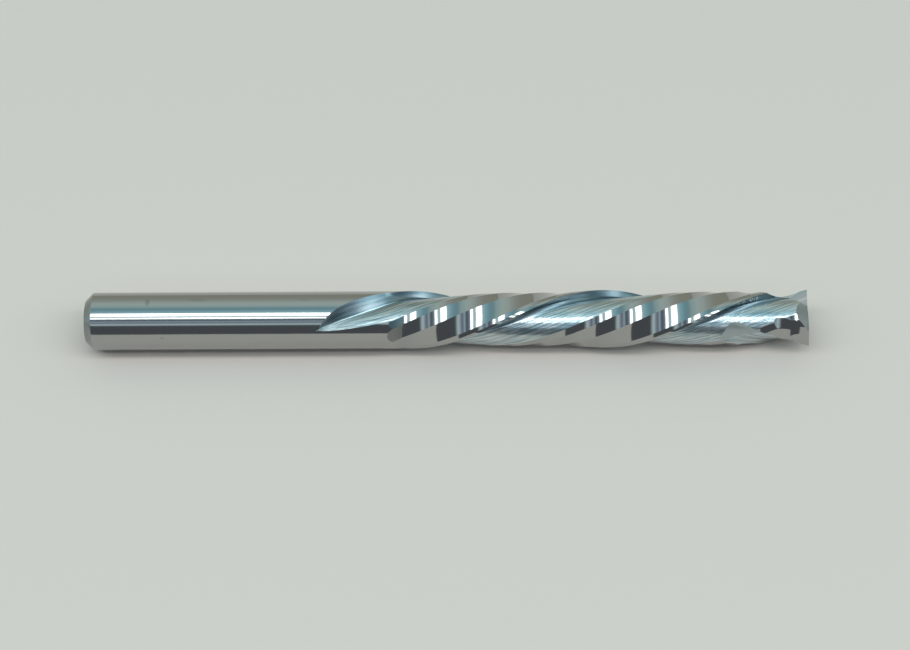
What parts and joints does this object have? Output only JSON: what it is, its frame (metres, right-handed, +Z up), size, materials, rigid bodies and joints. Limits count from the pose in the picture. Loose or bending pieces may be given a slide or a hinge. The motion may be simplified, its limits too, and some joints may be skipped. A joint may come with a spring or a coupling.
{
  "type": "end mill",
  "caption": "Solid carbide compression spiral end mill: plain round shank, long down-cut helical flutes and short up-cut flutes at the tip.",
  "frame": {"origin": "centre of the shank's flat back face, on the tool's axis", "axes": "+X along the tool's axis from the shank to the tip, +Z up as the tool lies on its side, with a down-cut edge rolled 26.3 degrees below level at the tip"},
  "size_m": [0.075, 0.006, 0.006],
  "materials": {
    "ground_shank": "round-ground and polished carbide, near mirror, faint rings round the shank",
    "ground_flutes": "bright ground carbide with fine grinding lines along the flutes"
  },
  "bodies": {
    "root": {"shank": "ground_shank", "flute_run_out_zone": "ground_flutes", "down_cut_flutes": "ground_flutes", "up_cut_tip": "ground_flutes"}
  },
  "joints": []
}
